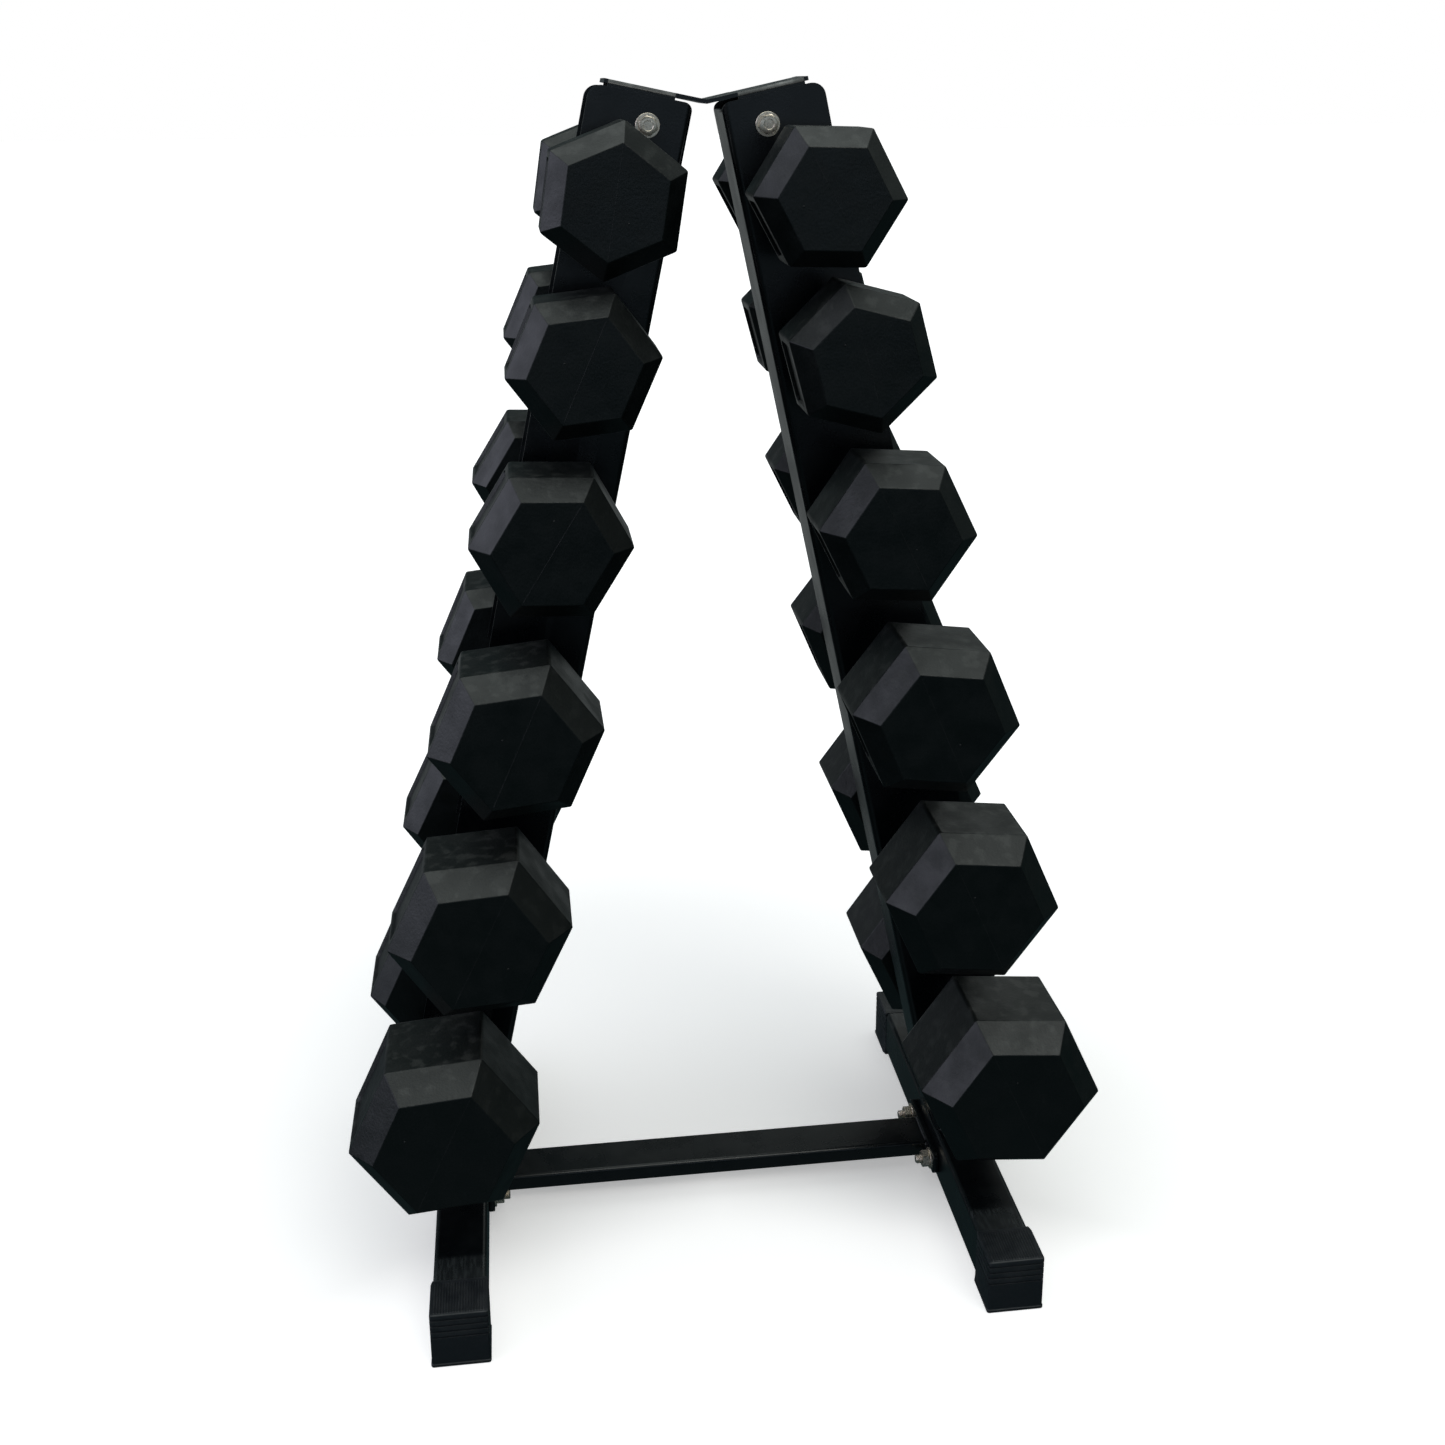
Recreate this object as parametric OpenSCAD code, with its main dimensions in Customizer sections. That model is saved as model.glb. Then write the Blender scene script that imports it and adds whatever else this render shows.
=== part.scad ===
// A-frame dumbbell rack with twelve hexagonal rubber dumbbells.
// Millimetres, +Z up, +X to the right, -Y towards the user. The origin is on the floor,
// midway between the two feet.
//
// Each upright is drawn in its own leaning frame: x = 0 is the inner face of the web,
// x grows outwards across the flanges, z = 0 is floor level and z grows up the web.

/* [Uprights] */
// Lean of each upright from the vertical, in degrees
lean = 12; // [11.5:0.5:12.5]
// Distance from the middle to the web's inner face, at floor level
half_spread = 207.5; // [205:0.5:210]
// Length from floor level to the top edge of the flanges
upright_length = 951; // [950:1:955]
// Width of a flange, web included
upright_width = 77; // [75:1:80]
// Depth of the channel over both flanges
upright_depth = 55; // [50:1:60]
// Thickness of the folded sheet
sheet = 3; // [2:0.5:3.5]
// Outer radius of the two long folds
fold_radius = 5; // [4:0.5:7]
// Radius of the outer corners of a flange
outer_corner_radius = 10; // [6:1:14]
// Radius of the inner top corner of a flange
inner_corner_radius = 7; // [5:1:9]
// How far the web stops below the top edge of the flanges
web_step = 4.5; // [3:0.5:6]

/* [Feet] */
// Outer width and height of the square foot tube
foot_tube = 42; // [40:1:44]
// Wall of the foot tube
foot_wall = 2; // [1.5:0.5:3]
// Outer corner radius of the foot tube
foot_tube_radius = 4; // [3:0.5:5]
// Length of a foot over its caps
foot_length = 396; // [380:2:420]
// Length of an end cap
cap_length = 40; // [36:1:50]
// Thickness of the cap's sides and top
cap_skin = 2; // [1.5:0.5:2.5]
// Thickness of the cap under the tube
cap_sole = 4; // [3:0.5:6]
// Thickness of the cap's end wall
cap_end = 5; // [4:0.5:8]

/* [Crossbar] */
// Front-to-back size of the crossbar tube
crossbar_depth = 38; // [28:1:40]
// Height of the crossbar tube
crossbar_height = 15; // [12:1:20]
// Wall of the crossbar tube
crossbar_wall = 1.5; // [1:0.5:2.5]
// Front-to-back length of a crossbar end plate
end_plate_length = 86; // [84:1:100]
// Height of a crossbar end plate
end_plate_height = 20; // [19:1:34]
// Thickness of a crossbar end plate
end_plate_thickness = 5; // [4:0.5:6]
// Distance between the two bolts of an end plate
base_bolt_spacing = 64; // [60:1:70]

/* [Top plate] */
// Gap between the flanges' top edges and the plate
top_plate_gap = 2; // [1:0.5:3]
// Outer end of the plate, across the flange
top_plate_reach = 67; // [64:0.5:68]
// Start of the folded tabs, across the flange
tab_start = 14; // [12:1:16]
// Width of a tab
tab_width = 50; // [45:1:51]
// Length of a tab below the plate
tab_drop = 40; // [36:1:46]
// Top bolt's distance from the web's inner face
top_bolt_offset = 30.5; // [26:0.5:36]
// Top bolt's distance below the flanges' top edge
top_bolt_drop = 21.5; // [18:0.5:26]

/* [Fasteners] */
// Diameter of the bolts
bolt_diameter = 8; // [8]
// Width across flats of bolt heads and nuts
hex_flats = 13; // [13]
// Height of a bolt head
head_height = 5.3; // [5:0.1:5.5]
// Height of a nut
nut_height = 6.5; // [6:0.1:6.8]
// Outer diameter of a washer
washer_diameter = 18; // [16:0.5:20]
// Thickness of a washer
washer_thickness = 1.6; // [1.2:0.1:2]
// Diameter of the bolt holes
hole_diameter = 9; // [8.6:0.1:9.5]
// Length of a top bolt under its head
top_bolt_length = 20; // [18:1:24]
// Length of a base bolt under its head
base_bolt_length = 62; // [60:1:65]

/* [Rows] */
// Height of the top row along the upright
row_1 = 876; // [874:1:878]
// Height of the second row along the upright
row_2 = 761; // [759:1:763]
// Height of the third row along the upright
row_3 = 631; // [628:1:634]
// Height of the fourth row along the upright
row_4 = 483; // [480:1:486]
// Height of the fifth row along the upright
row_5 = 324; // [321:1:327]
// Height of the bottom row along the upright
row_6 = 157; // [154:1:160]
// Distance of the handle axes from the web's inner face
handle_offset = 51; // [48:0.5:52]

/* [Dumbbell heads] */
// Hexagon across its corners, top row
hexagon_1 = 110; // [100:1:111]
// Hexagon across its corners, second row
hexagon_2 = 112; // [100:1:112]
// Hexagon across its corners, third row
hexagon_3 = 119; // [110:1:120]
// Hexagon across its corners, fourth row
hexagon_4 = 131; // [120:1:132]
// Hexagon across its corners, fifth row
hexagon_5 = 140; // [130:1:142]
// Hexagon across its corners, bottom row
hexagon_6 = 148; // [138:1:150]
// Length of a dumbbell, top row
length_1 = 252; // [246:2:260]
// Length of a dumbbell, second row
length_2 = 264; // [256:2:270]
// Length of a dumbbell, third row
length_3 = 280; // [272:2:286]
// Length of a dumbbell, fourth row
length_4 = 300; // [292:2:306]
// Length of a dumbbell, fifth row
length_5 = 308; // [304:2:316]
// Length of a dumbbell, bottom row
length_6 = 330; // [324:2:336]
// Length of the grip between the two heads
grip_length = 112; // [108:1:116]
// Size of the end face, as a share of the full hexagon
end_face_share = 0.73; // [0.7:0.01:0.8]
// Size of the face at the handle, as a share of the full hexagon
near_face_share = 0.8; // [0.75:0.01:0.85]
// Depth of the bevel at either face, as a share of the corner radius
bevel_share = 0.29; // [0.25:0.01:0.32]
// Thickness of the rubber over the iron core
rubber_skin = 7; // [6:0.5:9]

/* [Handles] */
// Diameter of the handle where it rests in the slots
handle_diameter = 30; // [28:0.5:31]
// Diameter at the middle of the grip
grip_diameter = 33; // [31:0.5:34]
// Diameter of the collar against each head
collar_diameter = 32; // [31:0.5:34]
// Diameter of the handle inside the iron cores
tenon_diameter = 28; // [24:1:29]

/* [Slots] */
// Width of a slot
slot_width = 33; // [32.5:0.5:34]
// Rise of a slot towards its mouth, from the flange's perpendicular, in degrees
slot_rise = 12; // [8:1:14]
// Gap left under a resting handle
seat_gap = 0.3; // [0.3:0.1:0.6]

/* [Hidden] */
$fn = 64;
slop = 0.1;                                    // clearance of a piece that fits inside another
over = 1;                                      // how far a cutting tool runs past a face
crossbar_drop = 4;                             // crossbar's middle below the foot tube's middle
core_cover = 8;                                // iron between a tenon's hole and the end of the core
half_grip = grip_length / 2;
foot_centre = half_spread - tan(lean) * (cap_sole + foot_tube) + foot_tube / 2;
foot_top = cap_sole + foot_tube;
foot_inner = foot_centre - foot_tube / 2;
foot_outer = foot_centre + foot_tube / 2;
inside_depth = upright_depth - 2 * sheet;
plate_level = upright_length + top_plate_gap;
top_bolt_level = upright_length - top_bolt_drop;
crossbar_level = cap_sole + foot_tube / 2 - crossbar_drop;
crossbar_reach = foot_inner - end_plate_thickness;

ROW_LEVELS = [row_1, row_2, row_3, row_4, row_5, row_6];
HEXAGONS = [hexagon_1, hexagon_2, hexagon_3, hexagon_4, hexagon_5, hexagon_6];
LENGTHS = [length_1, length_2, length_3, length_4, length_5, length_6];
// Roll of each dumbbell in its slots, in degrees anticlockwise from the front: left side, then right side
ROLLS = [[21, 6, -2, 6, 4, 5], [-2, -15, -4, -7, -6, -5]];

SIDES = ["left", "right"];
ENDS = ["front", "rear"];
ROWS = [1 : len(ROW_LEVELS)];

// ---- placing -------------------------------------------------------------

// Draws its children on the named side: they are modelled for the right side
module on_side(side) {
    mirror([side == "left" ? 1 : 0, 0, 0]) children();
}

// Draws its children at the named end: they are modelled for the rear end
module at_end(end) {
    mirror([0, end == "front" ? 1 : 0, 0]) children();
}

// Moves from the right upright's leaning frame to the rack's frame
module leaning() {
    translate([half_spread, 0, 0]) rotate([0, -lean, 0]) children();
}

// Moves to a row's handle axis, keeping the rack's own directions
module at_row(row) {
    level = ROW_LEVELS[row - 1];
    translate([
        half_spread - level * sin(lean) + handle_offset * cos(lean),
        0,
        level * cos(lean) + handle_offset * sin(lean)
    ]) children();
}

// ---- shared shapes -------------------------------------------------------

// Flat rectangle with rounded corners, centred
module rounded_rectangle(width, height, radius) {
    square([width - 2 * radius, height], center = true);
    square([width, height - 2 * radius], center = true);
    for (x = [-1, 1], y = [-1, 1])
        translate([x * (width / 2 - radius), y * (height / 2 - radius)]) circle(radius);
}

// Section of a hollow tube, centred
module tube_section(width, height, wall, radius) {
    difference() {
        rounded_rectangle(width, height, radius);
        rounded_rectangle(width - 2 * wall, height - 2 * wall, radius - wall);
    }
}

// Runs its flat children along Y: their x stays x and their y becomes z
module along_y(length) {
    rotate([90, 0, 0]) linear_extrude(length, center = true) children();
}

// Runs its flat children along X: their x becomes y and their y becomes z
module along_x(length) {
    rotate([90, 0, 90]) linear_extrude(length, center = true) children();
}

// Six-sided block on the Z axis, its two rims turned down as on a bolt head
module hex_block(height, chamfer_low, chamfer_high) {
    corner = hex_flats / 2 / cos(30);
    drop = 0.9;
    inset = 1.7 * drop;
    rim = corner + 0.01;
    intersection() {
        cylinder(r = corner, h = height, $fn = 6);
        rotate_extrude() polygon([
            [0, 0],
            [rim - inset * chamfer_low, 0],
            [rim, drop * chamfer_low],
            [rim, height - drop * chamfer_high],
            [rim - inset * chamfer_high, height],
            [0, height]
        ]);
    }
}

// Bolt pointing down -Z, its head standing on z = 0
module hex_bolt(length) {
    shank = bolt_diameter / 2 - slop;
    tip = 1;
    hex_block(head_height, 0, 1);
    translate([0, 0, tip - length]) cylinder(r = shank, h = length - tip + over);
    translate([0, 0, -length]) cylinder(r1 = shank - tip, r2 = shank, h = tip);
}

module hex_nut() {
    difference() {
        hex_block(nut_height, 1, 1);
        translate([0, 0, -over]) cylinder(d = bolt_diameter, h = nut_height + 2 * over);
    }
}

module washer() {
    difference() {
        cylinder(d = washer_diameter, h = washer_thickness);
        translate([0, 0, -over]) cylinder(d = bolt_diameter + 0.4, h = washer_thickness + 2 * over);
    }
}

// ---- uprights ------------------------------------------------------------

// Outline with x = 0 as its folded side: both corners there are rounded
module folded_outline(width, depth, radius) {
    translate([radius, -depth / 2]) square([width - radius, depth]);
    translate([0, radius - depth / 2]) square([radius, depth - 2 * radius]);
    for (y = [-1, 1]) translate([radius, y * (depth / 2 - radius)]) circle(radius);
}

module channel_section() {
    difference() {
        folded_outline(upright_width, upright_depth, fold_radius);
        translate([sheet, 0]) folded_outline(upright_width, inside_depth, fold_radius - sheet);
    }
}

// A flange seen from the front, in the leaning frame: its outer corners and inner top corner are round
module flange_outline() {
    inner = inner_corner_radius;
    outer = outer_corner_radius;
    bottom = (foot_top - upright_width * sin(lean)) / cos(lean);
    difference() {
        translate([0, bottom]) square([upright_width, upright_length - bottom]);
        difference() {
            translate([-over, upright_length - inner]) square([inner + over, inner + over]);
            translate([inner, upright_length - inner]) circle(inner);
        }
        difference() {
            translate([upright_width - outer, upright_length - outer]) square(outer + over);
            translate([upright_width - outer, upright_length - outer]) circle(outer);
        }
    }
}

// Corner that is cut off the foot of each flange, beyond the foot tube
module foot_taper() {
    rise = 55;
    reach = upright_width / cos(lean) - foot_tube;
    translate([foot_outer, 0, foot_top]) along_y(2 * upright_depth) polygon([
        [0, 0],
        [reach + over, -over],
        [reach + over, rise],
        [reach - rise * tan(lean), rise]
    ]);
}

// Space that a row's handle passes through, in the rack's directions about the handle axis
module slot_cut() {
    seat = slot_width / 2;
    lift = seat - handle_diameter / 2 - seat_gap;
    translate([0, 0, lift]) rotate([90, -lean - slot_rise, 0]) {
        cylinder(r = seat, h = upright_depth + 2 * over, center = true);
        translate([0, -seat, -upright_depth / 2 - over])
            cube([upright_width, slot_width, upright_depth + 2 * over]);
    }
}

module upright(side) {
    color("#15191f") on_side(side) difference() {
        leaning() difference() {
            intersection() {
                linear_extrude(upright_length) channel_section();
                along_y(upright_depth + 2 * over) flange_outline();
            }
            translate([-over, -upright_depth / 2 + fold_radius, upright_length - web_step])
                cube([fold_radius + over, upright_depth - 2 * fold_radius, web_step + over]);
            translate([top_bolt_offset, 0, top_bolt_level]) rotate([90, 0, 0])
                cylinder(d = hole_diameter, h = upright_depth + 2 * over, center = true);
        }
        for (row = ROWS) at_row(row) slot_cut();
        foot_taper();
        translate([foot_inner - upright_width, -upright_depth, 0])
            cube([3 * upright_width, 2 * upright_depth, foot_top]);
    }
}

// ---- top plate -----------------------------------------------------------

// Section through the plate and its two tabs: x runs front to back, y = 0 is the plate's upper face
module tab_section() {
    drop = tab_drop + sheet;
    bend = sheet + 1;
    difference() {
        translate([0, -drop]) rounded_rectangle(inside_depth, 2 * drop, bend);
        translate([0, -drop]) rounded_rectangle(inside_depth - 2 * sheet, 2 * (drop - sheet), bend - sheet);
        translate([0, -1.5 * drop]) square([2 * inside_depth, drop], center = true);
    }
}

// One half of the plate, up to the fold in the middle
module half_top_plate() {
    tab_end = tab_start + tab_width;
    tab_corner = 8;
    intersection() {
        leaning() difference() {
            union() {
                for (x = [[-upright_width, tab_start], [tab_end, top_plate_reach]])
                    translate([x[0], -inside_depth / 2, plate_level])
                        cube([x[1] - x[0], inside_depth, sheet]);
                translate([tab_start + tab_width / 2, 0, plate_level + sheet])
                    along_x(tab_width) tab_section();
            }
            translate([top_bolt_offset, 0, top_bolt_level]) rotate([90, 0, 0])
                cylinder(d = hole_diameter, h = upright_depth, center = true);
            for (x = [tab_start, tab_end])
                translate([x, 0, plate_level - tab_drop]) rotate([0, 45, 0])
                    cube([tab_corner, upright_depth, tab_corner], center = true);
        }
        translate([0, -upright_depth, 0]) cube([upright_length, 2 * upright_depth, 2 * upright_length]);
    }
}

module top_plate() {
    color("#1b1f25") for (side = SIDES) on_side(side) half_top_plate();
}

// Draws its children at every top bolt: z = 0 is the flange's outer face, +Z points out of it
module at_top_bolts() {
    for (side = SIDES, end = ENDS)
        on_side(side) at_end(end) leaning()
            translate([top_bolt_offset, upright_depth / 2, top_bolt_level]) rotate([-90, 0, 0]) children();
}

module top_bolts() {
    color("#c9ccd0") at_top_bolts() translate([0, 0, washer_thickness]) hex_bolt(top_bolt_length);
}

module top_washers() {
    color("#c9ccd0") at_top_bolts() washer();
}

module top_nuts() {
    color("#c9ccd0") at_top_bolts() translate([0, 0, -2 * sheet - nut_height]) hex_nut();
}

// ---- feet ----------------------------------------------------------------

module foot_tube(side) {
    color("#15191f") on_side(side) difference() {
        translate([foot_centre, 0, cap_sole + foot_tube / 2]) along_y(foot_length - 2 * cap_end)
            tube_section(foot_tube, foot_tube, foot_wall, foot_tube_radius);
        for (y = [-1, 1])
            translate([foot_centre, y * base_bolt_spacing / 2, crossbar_level]) rotate([0, 90, 0])
                cylinder(d = hole_diameter, h = foot_tube + 2 * over, center = true);
    }
}

// Solid block of a cap, the rim at its open end bevelled down towards the tube
module cap_block(width, height) {
    bevel = 2.5;
    back = foot_length / 2 - cap_length;
    front = foot_length / 2;
    intersection() {
        along_x(width) polygon([
            [back, 0],
            [front, 0],
            [front, height],
            [back + bevel, height],
            [back, height - bevel]
        ]);
        linear_extrude(height) polygon([
            [-width / 2, front],
            [-width / 2, back + bevel],
            [bevel - width / 2, back],
            [width / 2 - bevel, back],
            [width / 2, back + bevel],
            [width / 2, front]
        ]);
    }
}

// Shell that slides over the end of a foot tube, with steps across its end and ribs along its top
module foot_cap(side, end) {
    width = foot_tube + 2 * cap_skin;
    height = foot_top + cap_skin;
    steps = 4;
    step_pitch = 5.2;
    step_groove = 1.6;
    groove_depth = 0.8;
    ribs = 17;
    rib_pitch = 2;
    rib_length = 24;
    socket = foot_tube + 2 * slop;
    color("#202226") on_side(side) at_end(end) translate([foot_centre, 0, 0]) difference() {
        cap_block(width, height);
        translate([0, foot_length / 2 - cap_length / 2 - cap_end, cap_sole + foot_tube / 2])
            along_y(cap_length) rounded_rectangle(socket, socket, foot_tube_radius);
        // stepped lines across the end face
        for (i = [1 : steps])
            translate([0, foot_length / 2, height - i * step_pitch])
                cube([width - 3, 2 * groove_depth, step_groove], center = true);
        // lengthwise lines between the ribs on top
        for (i = [0 : ribs - 1])
            translate([(i - (ribs - 1) / 2) * rib_pitch, foot_length / 2 - rib_length / 2 - 2, height])
                cube([rib_pitch / 2, rib_length, 1.2], center = true);
    }
}

// ---- crossbar ------------------------------------------------------------

module crossbar_tube() {
    color("#15191f") translate([0, 0, crossbar_level]) along_x(2 * crossbar_reach)
        tube_section(crossbar_depth, crossbar_height, crossbar_wall, crossbar_wall * 2);
}

module crossbar_plate(side) {
    color("#15191f") on_side(side) difference() {
        translate([foot_inner - end_plate_thickness / 2, 0, crossbar_level]) along_x(end_plate_thickness)
            rounded_rectangle(end_plate_length, end_plate_height, 5);
        for (y = [-1, 1])
            translate([foot_inner, y * base_bolt_spacing / 2, crossbar_level]) rotate([0, 90, 0])
                cylinder(d = hole_diameter, h = 4 * end_plate_thickness, center = true);
    }
}

// Draws its children at every base bolt: z = 0 is the tube's outer face, +Z points outwards
module at_base_bolts() {
    for (side = SIDES, end = ENDS)
        on_side(side) at_end(end)
            translate([foot_outer, base_bolt_spacing / 2, crossbar_level]) rotate([0, 90, 0]) children();
}

module base_bolts() {
    color("#c9ccd0") at_base_bolts() translate([0, 0, washer_thickness]) hex_bolt(base_bolt_length);
}

// One washer under each bolt head and one under each nut
module base_washers() {
    color("#c9ccd0") at_base_bolts() {
        washer();
        translate([0, 0, -foot_tube - end_plate_thickness - washer_thickness]) washer();
    }
}

module base_nuts() {
    color("#c9ccd0") at_base_bolts()
        translate([0, 0, -foot_tube - end_plate_thickness - washer_thickness - nut_height]) hex_nut();
}

// ---- dumbbells -----------------------------------------------------------

function corner_radius(row) = HEXAGONS[row - 1] / 2;
function half_length(row) = LENGTHS[row - 1] / 2;
function head_depth(row) = half_length(row) - half_grip;

// Moves a dumbbell, drawn about the Y axis, to its place in the rack
module in_rack(side, row) {
    roll = ROLLS[side == "left" ? 0 : 1][row - 1];
    on_side(side) at_row(row) rotate([0, side == "left" ? roll : -roll, 0]) children();
}

// Hexagonal head on the Y axis, its handle face at y = 0 and its end face at y = depth.
// Flats lie on top and underneath.
module hexagonal_head(corner, depth, bevel) {
    rotate([-90, 0, 0]) {
        cylinder(r1 = corner * near_face_share, r2 = corner, h = bevel, $fn = 6);
        translate([0, 0, bevel]) cylinder(r = corner, h = depth - 2 * bevel, $fn = 6);
        translate([0, 0, depth - bevel])
            cylinder(r1 = corner, r2 = corner * end_face_share, h = bevel, $fn = 6);
    }
}

// Iron core of the rear head, thinner than the head by the rubber on every side
module core_block(row, gap) {
    corner = corner_radius(row) - rubber_skin / cos(30) + gap;
    translate([0, half_grip + rubber_skin - gap, 0])
        hexagonal_head(corner, head_depth(row) - 2 * rubber_skin + 2 * gap, corner_radius(row) * bevel_share);
}

module cores(side, row) {
    color("#4a4a4c") in_rack(side, row) for (end = ENDS) at_end(end) difference() {
        core_block(row, 0);
        rotate([-90, 0, 0]) cylinder(d = tenon_diameter, h = half_length(row) - rubber_skin - core_cover);
    }
}

module heads(side, row) {
    color("#2a2c2e") in_rack(side, row) for (end = ENDS) at_end(end) difference() {
        translate([0, half_grip, 0])
            hexagonal_head(corner_radius(row), head_depth(row), corner_radius(row) * bevel_share);
        core_block(row, slop);
        rotate([-90, 0, 0]) cylinder(d = collar_diameter + 2 * slop, h = half_grip + rubber_skin + over);
    }
}

// Steel bar turned to a contoured grip, with a collar against each head and a tenon in each core
module handle(side, row) {
    collar_end = half_grip + rubber_skin - slop;
    tenon_end = half_length(row) - rubber_skin - core_cover - over;
    seat_from = inside_depth / 2 - 4;
    tenon = tenon_diameter / 2 - slop;
    color("#b9bdc2") in_rack(side, row) for (end = ENDS) at_end(end)
        rotate([-90, 0, 0]) rotate_extrude() polygon([
            [0, 0],
            [grip_diameter / 2, 0],
            [grip_diameter / 2, 8],
            [handle_diameter / 2, seat_from],
            [handle_diameter / 2, half_grip - 7],
            [collar_diameter / 2, half_grip - 4],
            [collar_diameter / 2, collar_end],
            [tenon, collar_end],
            [tenon, tenon_end - 1.5],
            [tenon - 1.5, tenon_end],
            [0, tenon_end]
        ]);
}

// ---- drawing -------------------------------------------------------------

for (side = SIDES) {
    upright(side);
    foot_tube(side);
    crossbar_plate(side);
}
for (side = SIDES, end = ENDS)
    foot_cap(side, end);
top_plate();
top_bolts();
top_washers();
top_nuts();
crossbar_tube();
base_bolts();
base_washers();
base_nuts();
for (side = SIDES, row = ROWS) {
    handle(side, row);
    cores(side, row);
    heads(side, row);
}
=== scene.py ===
"""Looks of the dumbbell rack: rubber heads, chromed handles, zinc fasteners, coated steel.

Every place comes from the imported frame. Lengths are in metres; MM is a millimetre.
"""
import math
import random

import bmesh
import bpy
from mathutils import Matrix, Vector


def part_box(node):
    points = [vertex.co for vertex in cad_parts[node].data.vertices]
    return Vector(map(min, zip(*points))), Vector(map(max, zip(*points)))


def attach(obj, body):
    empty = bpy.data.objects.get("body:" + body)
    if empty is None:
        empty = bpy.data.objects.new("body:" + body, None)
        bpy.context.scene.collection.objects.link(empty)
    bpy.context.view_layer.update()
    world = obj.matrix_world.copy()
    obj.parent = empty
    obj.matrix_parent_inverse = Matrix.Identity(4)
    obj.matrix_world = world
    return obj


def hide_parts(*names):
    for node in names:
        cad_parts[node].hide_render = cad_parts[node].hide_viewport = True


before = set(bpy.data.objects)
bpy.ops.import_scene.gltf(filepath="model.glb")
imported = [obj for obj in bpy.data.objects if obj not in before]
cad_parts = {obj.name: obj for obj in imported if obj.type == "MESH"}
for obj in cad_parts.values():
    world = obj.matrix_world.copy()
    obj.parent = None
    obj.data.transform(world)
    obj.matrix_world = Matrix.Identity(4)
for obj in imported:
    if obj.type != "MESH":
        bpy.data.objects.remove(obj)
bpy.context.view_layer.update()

MM = 0.001
TURN = 2 * math.pi
SIDES = ("left", "right")
ENDS = {"front": -1, "rear": 1}     # each end's direction along Y
ROWS = range(1, 7)
scene = bpy.context.scene


# ---- camera, light and floor -----------------------------------------------

CAMERA_PLACE = Vector((-0.1512, -1.2169, 0.9453))
CAMERA_TURN = math.radians(6.63)      # to the right of +Y
CAMERA_TILT = math.radians(-15.85)    # below the horizon
CAMERA_ROLL = math.radians(-0.57)
SENSOR = 36.0
LENS = 39.76
SHIFT = (0.0196, -0.1294)
NEAR_CLIP = 0.05


def add_camera():
    """Camera at the viewing angle of the photograph."""
    data = bpy.data.cameras.new("camera")
    data.sensor_width = SENSOR
    data.lens = LENS
    data.shift_x, data.shift_y = SHIFT
    data.clip_start = NEAR_CLIP
    camera = bpy.data.objects.new("camera", data)
    scene.collection.objects.link(camera)
    turn = Matrix.Rotation(-CAMERA_TURN, 4, "Z")
    tilt = Matrix.Rotation(math.pi / 2 + CAMERA_TILT, 4, "X")
    roll = Matrix.Rotation(CAMERA_ROLL, 4, "Z")
    camera.matrix_world = Matrix.Translation(CAMERA_PLACE) @ turn @ tilt @ roll
    scene.camera = camera


# ---- node helpers ----------------------------------------------------------

class Nodes:
    """Short names for adding and linking the nodes of one tree."""

    def __init__(self, tree):
        self.tree = tree

    def add(self, kind, **values):
        node = self.tree.nodes.new(kind)
        for name, value in values.items():
            setattr(node, name, value)
        return node

    def put(self, target, value):
        """Links an output to a socket, or sets the socket to a plain value."""
        if isinstance(value, bpy.types.NodeSocket):
            self.tree.links.new(value, target)
        else:
            target.default_value = value

    def math(self, operation, a, b=0.0):
        node = self.add("ShaderNodeMath", operation=operation)
        self.put(node.inputs[0], a)
        self.put(node.inputs[1], b)
        return node.outputs[0]

    def ramp(self, value, low, high, to_low=0.0, to_high=1.0):
        """Smooth step of value from low to high."""
        node = self.add("ShaderNodeMapRange", interpolation_type="SMOOTHSTEP")
        for name, setting in (("Value", value), ("From Min", low), ("From Max", high),
                              ("To Min", to_low), ("To Max", to_high)):
            self.put(node.inputs[name], setting)
        return node.outputs[0]

    def product(self, *values):
        """All the values multiplied together."""
        result = values[0]
        for value in values[1:]:
            result = self.math("MULTIPLY", result, value)
        return result

    def mix(self, factor, a, b):
        """Colour from a to b. Plain colours are RGBA."""
        node = self.add("ShaderNodeMix", data_type="RGBA")
        self.put(node.inputs["Factor"], factor)
        self.put(node.inputs["A"], a)
        self.put(node.inputs["B"], b)
        return node.outputs["Result"]

    def place(self):
        """Position on the object, in metres."""
        return self.add("ShaderNodeTexCoord").outputs["Object"]

    def parts(self, vector):
        """X, Y and Z of a vector."""
        node = self.add("ShaderNodeSeparateXYZ")
        self.put(node.inputs[0], vector)
        return [node.outputs[axis] for axis in "XYZ"]

    def noise(self, size, detail=2.0, stretch=(1, 1, 1)):
        """Noise whose features are about size metres across."""
        mapping = self.add("ShaderNodeMapping")
        mapping.inputs["Scale"].default_value = stretch
        self.put(mapping.inputs["Vector"], self.place())
        noise = self.add("ShaderNodeTexNoise")
        noise.inputs["Scale"].default_value = 1 / size
        noise.inputs["Detail"].default_value = detail
        self.put(noise.inputs["Vector"], mapping.outputs[0])
        return noise.outputs["Fac"]

    def bump(self, height, distance, before=None):
        """Normal of a relief distance metres deep, on top of the one before."""
        node = self.add("ShaderNodeBump")
        node.inputs["Distance"].default_value = distance
        node.inputs["Strength"].default_value = 1.0
        self.put(node.inputs["Height"], height)
        if before is not None:
            self.put(node.inputs["Normal"], before)
        return node.outputs[0]


def rgb(red, green, blue):
    return (red, green, blue, 1.0)


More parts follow.
